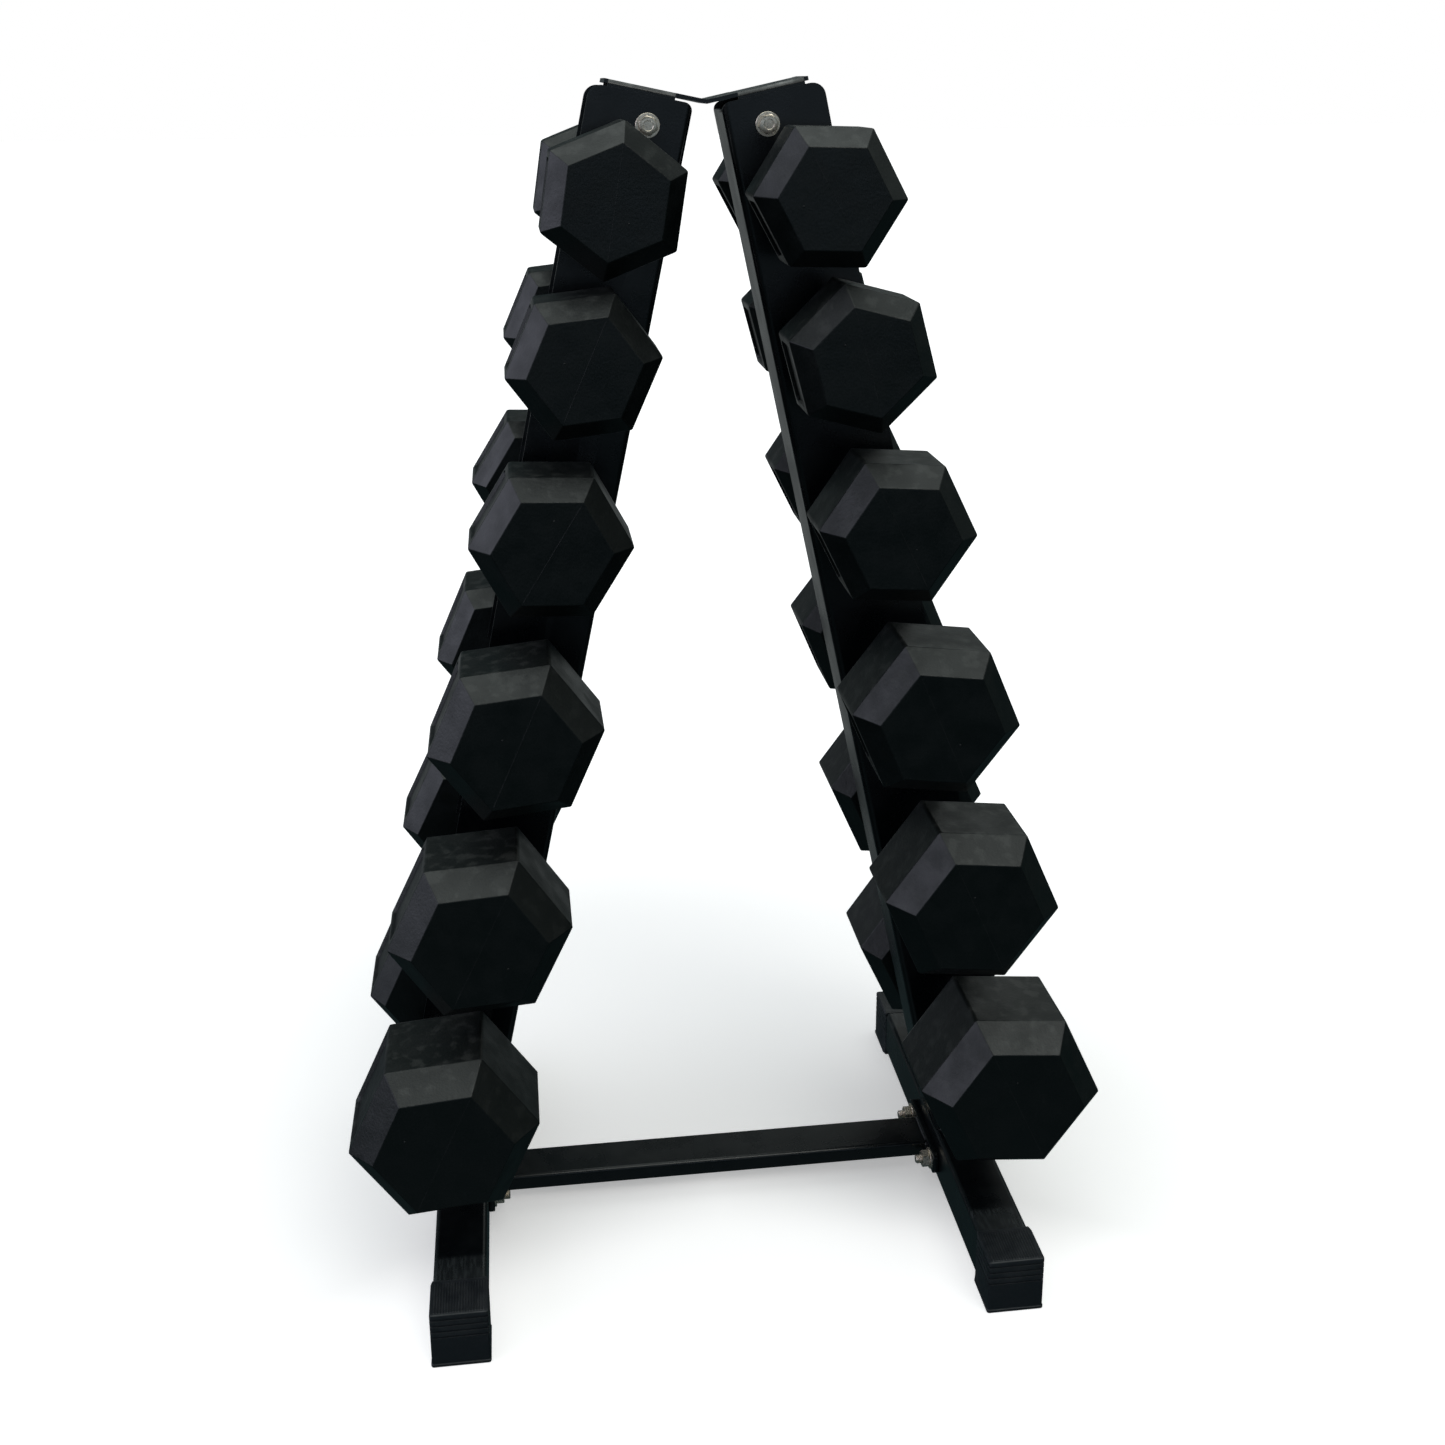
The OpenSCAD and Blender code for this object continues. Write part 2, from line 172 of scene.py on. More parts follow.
def new_material(name, **settings):
    """Principled material with its plain settings, its node helper and its shader."""
    material = bpy.data.materials.new(name)
    material.use_nodes = True
    shader = material.node_tree.nodes["Principled BSDF"]
    for socket, value in settings.items():
        shader.inputs[socket.replace("_", " ")].default_value = value
    return material, Nodes(material.node_tree), shader


def upward(n):
    """How far a surface faces up, from 0 on its sides to 1 on top."""
    height = n.parts(n.add("ShaderNodeNewGeometry").outputs["Normal"])[2]
    return n.ramp(height, 0.15, 0.95)


def worn_edges(n, share):
    """Up to the share along convex edges, in patches, and 0 on flat ground."""
    edges = n.ramp(n.add("ShaderNodeNewGeometry").outputs["Pointiness"], 0.515, 0.60)
    patches = n.ramp(n.noise(0.012, 4.0), 0.35, 0.65, 0.25, 1.0)
    return n.product(edges, patches, share)


def set_relief(n, shader, *layers):
    """Bump from layers of (noise, depth in metres)."""
    normal = None
    for noise, depth in layers:
        normal = n.bump(noise, depth, normal)
    n.put(shader.inputs["Normal"], normal)


# ---- materials -------------------------------------------------------------

def rubber_material():
    """Moulded rubber: near black, fine grain, grey scuffs, and a lighter grey on what faces up that
    is settled dust and painted light from above.
    """
    material, n, shader = new_material("moulded_rubber", IOR=1.48)
    dark = n.mix(n.noise(0.03), rgb(0.0008, 0.0021, 0.0021), rgb(0.0020, 0.0038, 0.0038))
    marks_and_painted_light = n.ramp(n.noise(0.011, 6.0), 0.50, 0.66)
    streaks = n.ramp(n.noise(0.004, 4.0, (1, 1, 0.25)), 0.58, 0.75)
    patches = n.math("ADD", 0.25, n.product(marks_and_painted_light, 0.75))
    # dust and painted light: faces that look up are lightened towards grey, as settled dust and as
    # light from above
    dust_and_top_light = n.mix(n.product(upward(n), patches, 0.42), dark, rgb(0.078, 0.080, 0.075))
    streaked = n.mix(n.product(streaks, 0.04), dust_and_top_light, rgb(0.05, 0.05, 0.05))
    edged = n.mix(worn_edges(n, 0.30), streaked, rgb(0.045, 0.045, 0.047))
    n.put(shader.inputs["Base Color"], edged)
    n.put(shader.inputs["Roughness"], n.ramp(n.noise(0.02, 3.0), 0.3, 0.7, 0.33, 0.46))
    set_relief(n, shader, (n.noise(0.035), 0.0007), (n.noise(0.0022, 3.0), 0.00016),
               (n.noise(0.0007), 0.00005))
    return material


def powder_material(name, dust_and_light_share=0.04, dust_and_light_tone=0.06, scuff_and_painted_light_from=None):
    """Satin black powder coat with orange peel and dust on top (a large share of it is painted
    light from above); scuffs and painted light on top beyond a distance along Y.
    """
    material, n, shader = new_material(name, IOR=1.5)
    base = n.mix(n.noise(0.05), rgb(0.0008, 0.0016, 0.0024), rgb(0.0020, 0.0032, 0.0045))
    if scuff_and_painted_light_from is not None:
        # painted light with scuff streaks: the tops beyond this distance along Y are lightened, as
        # if out of the heads' shadow
        along = n.math("ABSOLUTE", n.parts(n.place())[1])
        painted_light_ends = n.ramp(along, scuff_and_painted_light_from - 3 * MM, scuff_and_painted_light_from + 3 * MM)
        streaks = n.ramp(n.noise(0.0022, 4.0, (1, 0.15, 1)), 0.42, 0.68, 0.35, 1.0)
        marks_and_painted_light = n.product(painted_light_ends, streaks, upward(n), 0.55)
        base = n.mix(marks_and_painted_light, base, rgb(0.060, 0.068, 0.070))
    patches = n.ramp(n.noise(0.012, 5.0), 0.40, 0.75, 0.1, 1.0)
    # dust on what faces up; at a large share and a light tone it is painted light from above
    dust_and_top_light_mask = n.product(upward(n), patches, dust_and_light_share)
    dust_and_top_light = n.mix(dust_and_top_light_mask, base, rgb(dust_and_light_tone, dust_and_light_tone, dust_and_light_tone * 0.95))
    edged = n.mix(worn_edges(n, 0.25), dust_and_top_light, rgb(0.05, 0.055, 0.06))
    n.put(shader.inputs["Base Color"], edged)
    n.put(shader.inputs["Roughness"], n.ramp(n.noise(0.03, 4.0), 0.3, 0.7, 0.25, 0.32))
    set_relief(n, shader, (n.noise(0.0016), 0.00005), (n.noise(0.05), 0.0004))
    return material


def zinc_material():
    """Zinc plate: bright, a little cloudy and pitted."""
    material, n, shader = new_material("bright_zinc", Metallic=0.85)
    base = n.mix(n.noise(0.003, 3.0), rgb(0.62, 0.54, 0.44), rgb(0.93, 0.83, 0.70))
    n.put(shader.inputs["Base Color"], base)
    n.put(shader.inputs["Roughness"], n.ramp(n.noise(0.002, 3.0), 0.3, 0.7, 0.22, 0.40))
    set_relief(n, shader, (n.noise(0.0012, 3.0), 0.00005))
    return material


def plastic_material():
    """Moulded plastic of the foot caps: fine spark texture, streaks and scuffed edges."""
    material, n, shader = new_material("cap_plastic", IOR=1.54)
    base = n.mix(n.noise(0.015, 3.0), rgb(0.004, 0.006, 0.009), rgb(0.007, 0.010, 0.014))
    streaks = n.ramp(n.noise(0.0016, 3.0, (1, 0.12, 1)), 0.50, 0.72)
    streaked = n.mix(n.product(streaks, 0.25), base, rgb(0.026, 0.030, 0.034))
    edged = n.mix(worn_edges(n, 0.30), streaked, rgb(0.075, 0.078, 0.08))
    n.put(shader.inputs["Base Color"], edged)
    n.put(shader.inputs["Roughness"], n.ramp(n.noise(0.01), 0.3, 0.7, 0.42, 0.56))
    set_relief(n, shader, (n.noise(0.0008), 0.00006))
    return material


def chrome_material():
    """Chrome plate with faint hand marks."""
    material, n, shader = new_material("handle_chrome", Metallic=1.0)
    base = n.mix(n.noise(0.02, 3.0), rgb(0.62, 0.63, 0.64), rgb(0.74, 0.75, 0.76))
    n.put(shader.inputs["Base Color"], base)
    n.put(shader.inputs["Roughness"], n.ramp(n.noise(0.008, 4.0), 0.35, 0.75, 0.07, 0.22))
    return material


def iron_material():
    """Rough cast iron of the cores."""
    material, n, shader = new_material("cast_iron", Metallic=0.6)
    base = n.mix(n.noise(0.004, 4.0), rgb(0.06, 0.06, 0.06), rgb(0.14, 0.13, 0.12))
    n.put(shader.inputs["Base Color"], base)
    n.put(shader.inputs["Roughness"], n.ramp(n.noise(0.003), 0.3, 0.7, 0.6, 0.8))
    set_relief(n, shader, (n.noise(0.0015, 4.0), 0.0003))
    return material


# ---- stage -----------------------------------------------------------------

FLOOR_REACH = 30.0
SHADED_LIFT = 0.385     # the floor's own glow, which shadows don't darken, behind the crossbar
OPEN_LIFT = 0.62        # the same far off and in front
SHADE_MIDDLE = (0.0, 0.17, 0.0)
SHADE_EDGE = (0.28, 0.70)       # distances at which the shade starts to fade and ends
SHADE_FRONT = (0.03, -0.08)     # the same along Y, towards the front
SHADE_BEND = 0.3                # how much the front edge moves forward per metre sideways

# lobes of light round the rack, each a colour and the smooth steps that bound it: an axis of the
# direction, where the light starts on it and where it is full
LOBES = (
    # dim wall behind the rack, low
    (rgb(0.22, 0.24, 0.24), ("Z", 0.10, -0.05), ("Z", -0.62, -0.45), ("Y", 0.78, 0.93)),
    # bright patch high behind, on the right
    (rgb(0.72, 0.76, 0.74), ("Z", 0.26, 0.40), ("Z", 0.58, 0.48), ("X", -0.02, 0.16),
     ("Y", 0.68, 0.80)),
    # ground in front
    (rgb(0.09, 0.12, 0.13), ("Z", -0.54, -0.63), ("Y", -0.45, -0.65)),
    # level light from the front
    (rgb(0.35, 0.43, 0.51), ("Z", -0.08, -0.01), ("Z", 0.34, 0.16), ("Y", -0.70, -0.95)),
    # cool window on the left
    (rgb(1.38, 1.42, 1.68), ("X", -0.55, -0.93), ("Z", -0.15, 0.12), ("Y", 0.78, 0.46)),
    # wall on the right, and its brighter upper part
    (rgb(0.21, 0.24, 0.23), ("X", 0.60, 1.0), ("Z", 0.02, 0.30)),
    (rgb(0.55, 0.60, 0.58), ("X", 0.60, 1.0), ("Z", 0.02, 0.30), ("Z", 0.28, 0.48)),
    # ceiling
    (rgb(1.30, 1.42, 1.38), ("Z", 0.68, 0.95), ("X", 0.80, 0.45)),
    # lamp above the front, on the right
    (rgb(4.2, 4.3, 4.1), ("Z", 0.62, 0.72), ("Z", 0.90, 0.80), ("X", -0.10, 0.22),
     ("Y", -0.38, -0.52)),
)


def add_floor():
    """Pale floor that the rack stands on, its glow lower round and behind the rack as painted
    shade. Its light doesn't fall back on the rack.
    """
    bm = bmesh.new()
    bmesh.ops.create_grid(bm, x_segments=1, y_segments=1, size=FLOOR_REACH)
    mesh = bpy.data.meshes.new("floor")
    bm.to_mesh(mesh)
    bm.free()
    material, n, shader = new_material("floor", Roughness=0.9)
    tint = n.mix(n.noise(0.6), rgb(0.89, 0.86, 0.86), rgb(0.93, 0.90, 0.90))
    n.put(shader.inputs["Base Color"], tint)
    shader.inputs["Emission Color"].default_value = rgb(1, 1, 1)
    place = n.place()
    distance = n.add("ShaderNodeVectorMath", operation="DISTANCE")
    n.put(distance.inputs[0], place)
    n.put(distance.inputs[1], SHADE_MIDDLE)
    far = n.ramp(distance.outputs["Value"], *SHADE_EDGE)
    x, y, _ = n.parts(place)
    bend = n.product(n.math("ABSOLUTE", x), SHADE_BEND)
    front = n.ramp(n.math("ADD", y, bend), *SHADE_FRONT)
    rise = n.product(n.math("MAXIMUM", far, front), OPEN_LIFT - SHADED_LIFT)
    n.put(shader.inputs["Emission Strength"], n.math("ADD", SHADED_LIFT, rise))
    mesh.materials.append(material)
    floor = bpy.data.objects.new("floor", mesh)
    scene.collection.objects.link(floor)
    floor.visible_diffuse = False
    floor.visible_glossy = False


def add_sky():
    """Dim room with lobes of light; the camera sees plain white behind the rack."""
    world = bpy.data.worlds.new("studio")
    scene.world = world
    world.use_nodes = True
    n = Nodes(world.node_tree)
    world.node_tree.nodes.clear()
    direction = dict(zip("XYZ", n.parts(n.add("ShaderNodeTexCoord").outputs["Generated"])))
    light = rgb(0.020, 0.036, 0.038)
    for colour, *bounds in LOBES:
        steps = [n.ramp(direction[axis], start, full) for axis, start, full in bounds]
        light = n.mix(n.product(*steps), light, colour)
    lit = n.add("ShaderNodeBackground")
    n.put(lit.inputs["Color"], light)
    seen = n.add("ShaderNodeBackground")
    seen.inputs["Color"].default_value = rgb(1, 1, 1)
    choose = n.add("ShaderNodeMixShader")
    n.put(choose.inputs[0], n.add("ShaderNodeLightPath").outputs["Is Camera Ray"])
    n.put(choose.inputs[1], lit.outputs[0])
    n.put(choose.inputs[2], seen.outputs[0])
    n.put(n.add("ShaderNodeOutputWorld").inputs["Surface"], choose.outputs[0])
    scene.view_settings.view_transform = "Standard"


# ---- mesh helpers ----------------------------------------------------------

def skin(bm, rings, loop=False):
    """Joins rings of points with faces: the last ring meets the first, or both ends are capped."""
    rows = [[bm.verts.new(point) for point in ring] for ring in rings]
    count = len(rows[0])
    pairs = list(zip(rows, rows[1:]))
    if loop:
        pairs.append((rows[-1], rows[0]))
    for a, b in pairs:
        for i in range(count):
            bm.faces.new((a[i], a[(i + 1) % count], b[(i + 1) % count], b[i]))
    if not loop:
        bm.faces.new(rows[0][::-1])
        bm.faces.new(rows[-1])


def outward(point, direction):
    """Place at a point whose +Z runs along a direction."""
    return Matrix.Translation(point) @ direction.to_track_quat("Z", "Y").to_matrix().to_4x4()


def lathe(bm, place, profile, steps, loop=False):
    """Turns a profile of (radius, height) about place's Z axis.

    Either of the two may be a function of the angle.
    """
    rings = []
    for radius, height in profile:
        ring = []
        for i in range(steps):
            angle = TURN * i / steps
            r = radius(angle) if callable(radius) else radius
            z = height(angle) if callable(height) else height
            ring.append(place @ Vector((r * math.cos(angle), r * math.sin(angle), z)))
        rings.append(ring)
    skin(bm, rings, loop)


def add_piece(name, bm, material, body, replaced=(), sharp=32):
    """Turns a bmesh into a piece that rides on a body and stands for CAD nodes."""
    bmesh.ops.recalc_face_normals(bm, faces=bm.faces)
    mesh = bpy.data.meshes.new(name)
    bm.to_mesh(mesh)
    bm.free()
    mesh.shade_smooth()
    mesh.set_sharp_from_angle(angle=math.radians(sharp))
    mesh.materials.append(material)
    piece = bpy.data.objects.new(name, mesh)
    scene.collection.objects.link(piece)
    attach(piece, body)
    if replaced:
        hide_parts(*replaced)
    return piece


def soften(piece, width):
    """Rounds a CAD node's sharp edges with modifiers; its mesh stays as it is."""
    weld = piece.modifiers.new("weld", "WELD")
    weld.merge_threshold = 0.01 * MM
    bevel = piece.modifiers.new("edges", "BEVEL")
    bevel.width = width
    bevel.segments = 2
    bevel.limit_method = "ANGLE"
    bevel.angle_limit = math.radians(35)
    bevel.use_clamp_overlap = True
    normals = piece.modifiers.new("normals", "WEIGHTED_NORMAL")
    normals.weight = 80
    normals.keep_sharp = False


def dress(node, material, edge=None):
    """Gives a CAD node its material and, where asked, rounded edges."""
    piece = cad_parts[node]
    piece.data.materials.clear()
    piece.data.materials.append(material)
    if edge:
        soften(piece, edge)


# ---- dumbbells -------------------------------------------------------------

class Dumbbell:
    """Where one dumbbell lies in the frame and how big its hexagons are."""

    def __init__(self, side, row):
        self.side, self.row = side, row
        self.body = f"{side}_dumbbell_{row}"
        low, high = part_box(f"{self.body}_handle")
        self.x, self.z = (low.x + high.x) / 2, (low.z + high.z) / 2
        self.grip_radius = (high.x - low.x) / 2
        points = [v.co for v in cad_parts[f"{self.body}_heads"].data.vertices]
        far = max(points, key=lambda p: math.hypot(p.x - self.x, p.z - self.z))
        self.corner = math.hypot(far.x - self.x, far.z - self.z)
        self.corner_angle = math.atan2(far.z - self.z, far.x - self.x)
        self.face = min(abs(p.y) for p in points)
        self.end = max(p.y for p in points)
        self.depth = self.end - self.face
        self.random = random.Random(self.body)

    def place(self, end):
        """Place of a head: +Z out of its end face, X to its first corner."""
        direction = ENDS[end]
        along = Vector((0, direction, 0))
        first = Vector((math.cos(self.corner_angle), 0, math.sin(self.corner_angle)))
        second = along.cross(first)
        matrix = Matrix((first, second, along)).transposed().to_4x4()
        return Matrix.Translation((self.x, direction * self.face, self.z)) @ matrix


END_SHARE = 0.73        # end face against the full hexagon
NEAR_SHARE = 0.80       # handle face against the full hexagon
BEVEL_SHARE = 0.29      # bevel depth against the corner radius
PANEL_MARGIN = 5 * MM   # from a side's edges to its sunken panel
PANEL_DEPTH = 2.2 * MM
PANEL_CORNER = 4 * MM
PANEL_DRAFT = 0.6 * MM
CORNER_ROUND = 2.4 * MM
RIDGE_ROUND = 0.25      # of the other edges, against the corners'
PANEL_ROUND = 0.12      # of the panels' rims, against the corners'
PANEL_ANGLE = {"left": 150, "right": 30}    # direction that a head's panels face, and its opposite
SEAM_ANGLE = {"left": 60, "right": 120}     # direction of the mould seam across an end face
SEAM_HALF = 0.5 * MM
SEAM_RISE = 0.07 * MM
CLEAR_SEAM_RISE = 0.22 * MM
CLEAR_SEAMS = (("left", 2), ("left", 3), ("left", 4), ("right", 3))
PIP_RADIUS = 0.8 * MM
PIP_STEPS = 12
# where the vent pip sits on some end faces, to the right of and above the middle
PIPS = {
    ("left", 2): (-14 * MM, 6 * MM),
    ("left", 3): (2 * MM, 24 * MM),
    ("left", 5): (20 * MM, -15 * MM),
    ("right", 6): (-2 * MM, 22 * MM),
}


def head_hull(bm, place, corner, depth):
    """Bevelled hexagonal block. Returns its six side faces."""
    bevel = corner * BEVEL_SHARE
    levels = ((NEAR_SHARE, 0.0), (1.0, bevel), (1.0, depth - bevel), (END_SHARE, depth))
    rows = []
    for share, height in levels:
        row = []
        for k in range(6):
            angle = k * math.pi / 3
            x, y = corner * share * math.cos(angle), corner * share * math.sin(angle)
            row.append(bm.verts.new(place @ Vector((x, y, height))))
        rows.append(row)
    sides = []
    for level in range(3):
        for k in range(6):
            a, b = rows[level], rows[level + 1]
            face = bm.faces.new((a[k], a[(k + 1) % 6], b[(k + 1) % 6], b[k]))
            if level == 1:
                sides.append(face)
    bm.faces.new(rows[0][::-1])
    bm.faces.new(rows[3])
    return sides


def sink_panel(bm, side):
    """Sinks a round-cornered panel into a side face. Returns the edges of its rim and floor."""
    bmesh.ops.inset_individual(bm, faces=[side], thickness=PANEL_MARGIN, use_even_offset=True)
    middle = side.calc_center_median()
    bmesh.ops.bevel(bm, geom=list(side.verts), offset=PANEL_CORNER, segments=4, profile=0.5,
                    affect="VERTICES")
    panel = min(bm.faces, key=lambda face: (face.calc_center_median() - middle).length)
    rim = list(panel.edges)
    bmesh.ops.inset_individual(bm, faces=[panel], thickness=PANEL_DRAFT, depth=-PANEL_DEPTH,
                               use_even_offset=True)
    return rim + list(panel.edges)


def add_head(dumbbell, end, material):
    """Adds a moulded head: rounded corners, two sunken side panels, a seam and a vent pip."""
    place = dumbbell.place(end)
    bm = bmesh.new()
    sides = head_hull(bm, place, dumbbell.corner, dumbbell.depth)
    hull = set(bm.verts)
    bmesh.ops.recalc_face_normals(bm, faces=bm.faces)
    wanted = math.radians(PANEL_ANGLE[dumbbell.side])
    facing = Vector((math.cos(wanted), 0, math.sin(wanted)))
    rims = set()
    for side in sorted(sides, key=lambda f: -abs(f.normal.dot(facing)))[:2]:
        rims.update(sink_panel(bm, side))
    weights = bm.edges.layers.float.new("bevel_weight_edge")
    along = (place.to_3x3() @ Vector((0, 0, 1))).normalized()
    for edge in bm.edges:
        run = (edge.verts[0].co - edge.verts[1].co).normalized()
        if all(vert in hull for vert in edge.verts):
            edge[weights] = 1.0 if abs(run.dot(along)) > 0.99 else RIDGE_ROUND
        else:
            edge[weights] = PANEL_ROUND if edge in rims else 0.0
    add_seam(bm, dumbbell, end)
    piece = add_piece(f"{dumbbell.body}_{end}_head", bm, material, dumbbell.body,
                      [f"{dumbbell.body}_heads"], sharp=180)
    bevel = piece.modifiers.new("edges", "BEVEL")
    bevel.width = CORNER_ROUND
    bevel.segments = 4
    bevel.limit_method = "WEIGHT"
    bevel.use_clamp_overlap = False
    normals = piece.modifiers.new("normals", "WEIGHTED_NORMAL")
    normals.weight = 80


def add_seam(bm, dumbbell, end):
    """Thin raised line that the mould leaves across the end face, and one vent pip."""
    direction = ENDS[end]
    key = (dumbbell.side, dumbbell.row)
    face = Vector((dumbbell.x, direction * dumbbell.end, dumbbell.z))
    out = Vector((0, direction, 0))
    wanted = math.radians(SEAM_ANGLE[dumbbell.side])
    step = math.pi / 3
    angle = dumbbell.corner_angle + step * round((wanted - dumbbell.corner_angle) / step)
    run = Vector((math.cos(angle), 0, math.sin(angle)))
    across = run.cross(out)
    reach = dumbbell.corner * END_SHARE - 3 * MM
    rise = CLEAR_SEAM_RISE if key in CLEAR_SEAMS else SEAM_RISE
    section = ((-SEAM_HALF, -rise), (0, rise), (SEAM_HALF, -rise))
    skin(bm, [[face + run * t + across * a + out * b for a, b in section]
              for t in (-reach, reach)])
    if key in PIPS:
        right, up = PIPS[key]
    else:
        turn = dumbbell.random.uniform(0, TURN)
        far = dumbbell.corner * dumbbell.random.uniform(0.2, 0.45)
        right, up = far * math.cos(turn), far * math.sin(turn)
    pip = PIP_RADIUS
    lathe(bm, outward(face + Vector((right, 0, up)), out),
          [(pip, -pip / 2), (pip * 0.9, pip * 0.35), (pip * 0.5, pip * 0.6)], PIP_STEPS)


SEAT_RADIUS = 15 * MM
SEAT_START = 20.5 * MM      # from the middle of the grip
COLLAR_RADIUS = 16 * MM
COLLAR_LENGTH = 7 * MM      # from the handle face of a head, its slope included
COLLAR_SLOPE = 3 * MM
TENON_LENGTH = 6 * MM       # inside the head
KNURL_REACH = 19.5 * MM     # each way from the middle
KNURL_DEPTH = 0.35 * MM
KNURL_COUNT = 30
KNURL_ROWS = 46
HANDLE_STEPS = 120


def add_handle(dumbbell, material):
    """Chromed bar: swollen and diamond-knurled in the middle, smooth seats, end collars."""
    grip, swell = dumbbell.face, dumbbell.grip_radius

    def contour(y):
        y = abs(y)
        if y < SEAT_START:
            return SEAT_RADIUS + (swell - SEAT_RADIUS) * math.cos(math.pi / 2 * y / SEAT_START) ** 2
        if y < grip - COLLAR_LENGTH:
            return SEAT_RADIUS
        share = min(1.0, (y - grip + COLLAR_LENGTH) / COLLAR_SLOPE)
        return SEAT_RADIUS + (COLLAR_RADIUS - SEAT_RADIUS) * share

    def knurled(y):
        pitch = TURN * contour(0) / KNURL_COUNT

        def radius(angle):
            one = KNURL_COUNT * angle / 2 + math.pi * y / pitch
            other = KNURL_COUNT * angle / 2 - math.pi * y / pitch
            rise = abs(math.cos(one)) * abs(math.cos(other))
            return contour(y) - KNURL_DEPTH * (1 - rise)
        return radius

    bm = bmesh.new()
    place = Matrix.Translation((dumbbell.x, 0, dumbbell.z)) @ Matrix.Rotation(-math.pi / 2, 4, "X")
    middle = [(-1 + 2 * i / KNURL_ROWS) * KNURL_REACH for i in range(KNURL_ROWS + 1)]
    outer = [KNURL_REACH + 0.4 * MM, SEAT_START]
    outer += [grip - COLLAR_LENGTH + COLLAR_SLOPE * i / 3 for i in range(4)]
    outer.append(grip + TENON_LENGTH)
    profile = [(contour(y), -y) for y in reversed(outer)]
    profile += [(knurled(y), y) for y in middle]
    profile += [(contour(y), y) for y in outer]
    lathe(bm, place, profile, HANDLE_STEPS)
    add_piece(f"{dumbbell.body}_bar", bm, material, dumbbell.body,
              [f"{dumbbell.body}_handle"])


# ---- fasteners -------------------------------------------------------------

HEX_FLATS = 13 * MM
HEAD_HEIGHT = 5.3 * MM
NUT_HEIGHT = 6.5 * MM
BOLT_RADIUS = 3.95 * MM
BOLT_LENGTH = {"top": 20 * MM, "base": 62 * MM}
TOP_GRIP = 6 * MM           # a flange and a tab
THREAD_PITCH = 1.25 * MM
THREAD_DEPTH = 0.62 * MM
THREAD_LENGTH = 22 * MM     # at most
PLAIN_LENGTH = 2 * MM       # at least, under a head
THREAD_ROWS = 6             # per turn
THREAD_STEPS = 24
WASHER_HEIGHT = 1.6 * MM
WASHER_BORE = 4.2 * MM      # radius
WASHER_STEPS = 48
CHAMFER_RADIUS = 0.95 * HEX_FLATS / 2
CHAMFER_SLOPE = math.tan(math.radians(30))
HEX_STEPS = 72
SPIN_START = 9              # degrees that the first bolt of a group is turned
SPIN_STEP = 17              # and each further one


def hexagon(angle):
    """Distance from a hexagon's centre to its edge in one direction."""
    return HEX_FLATS / 2 / math.cos((angle + math.pi / 6) % (math.pi / 3) - math.pi / 6)


def chamfer_drop(angle):
    """How far the chamfer of a hexagon has fallen at its edge."""
    return (hexagon(angle) - CHAMFER_RADIUS) * CHAMFER_SLOPE


def thread_radius(height):
    """Radius of the thread's surface at a height, as a function of the angle."""
    def radius(angle):
        phase = (height / THREAD_PITCH - angle / TURN) % 1.0
        return BOLT_RADIUS - THREAD_DEPTH * (1 - abs(2 * phase - 1))
    return radius


def hex_head(bm, place):
    lathe(bm, place, [
        (CHAMFER_RADIUS, 0.0),
        (hexagon, 0.0),
        (hexagon, lambda a: HEAD_HEIGHT - chamfer_drop(a)),
        (CHAMFER_RADIUS, HEAD_HEIGHT),
        (CHAMFER_RADIUS * 0.62, HEAD_HEIGHT),
        (CHAMFER_RADIUS * 0.56, HEAD_HEIGHT - 0.3 * MM),
    ], HEX_STEPS)


def threaded_shank(bm, place, length, threaded):
    """Shank that runs down from z = 0, its last part threaded."""
    rows = int(threaded / THREAD_PITCH * THREAD_ROWS)
    profile = [(BOLT_RADIUS, 0.0), (BOLT_RADIUS, -(length - threaded) + 0.3 * MM)]
    for i in range(rows + 1):
        height = -(length - threaded) - (threaded - 0.8 * MM) * i / rows
        profile.append((thread_radius(height), height))
    profile.append((BOLT_RADIUS - THREAD_DEPTH - 0.3 * MM, -length))
    lathe(bm, place, profile, THREAD_STEPS)


def hex_nut(bm, place):
    bore = BOLT_RADIUS + 0.1 * MM
    lathe(bm, place, [
        (bore, 0.6 * MM),
        (bore + 0.6 * MM, 0.0),
        (CHAMFER_RADIUS, 0.0),
        (hexagon, chamfer_drop),
        (hexagon, lambda a: NUT_HEIGHT - chamfer_drop(a)),
        (CHAMFER_RADIUS, NUT_HEIGHT),
        (bore + 0.6 * MM, NUT_HEIGHT),
        (bore, NUT_HEIGHT - 0.6 * MM),
    ], HEX_STEPS, loop=True)


def washer(bm, place, radius):
    bore, edge = WASHER_BORE, 0.25 * MM
    lathe(bm, place, [
        (bore, 0.0),
        (radius - edge, 0.0),
        (radius, edge),
        (radius, WASHER_HEIGHT - edge),
        (radius - edge, WASHER_HEIGHT),
        (bore, WASHER_HEIGHT),
    ], WASHER_STEPS, loop=True)


def group_places(node, axis):
    """Places of the outer washers, +Z out of the steel, and their radius, from their box."""
    low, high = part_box(node)
    radius = (high.z - low.z) / 2
    level = (high.z + low.z) / 2
    places = []
    for x in (-1, 1):
        for y in (-1, 1):
            if axis == "Y":
                centre = Vector((x * (high.x - radius), y * (high.y - WASHER_HEIGHT), level))
                out = Vector((0, y, 0))
            else:
                centre = Vector((x * (high.x - WASHER_HEIGHT), y * (high.y - radius), level))
                out = Vector((x, 0, 0))
            places.append(outward(centre, out))
    return places, radius


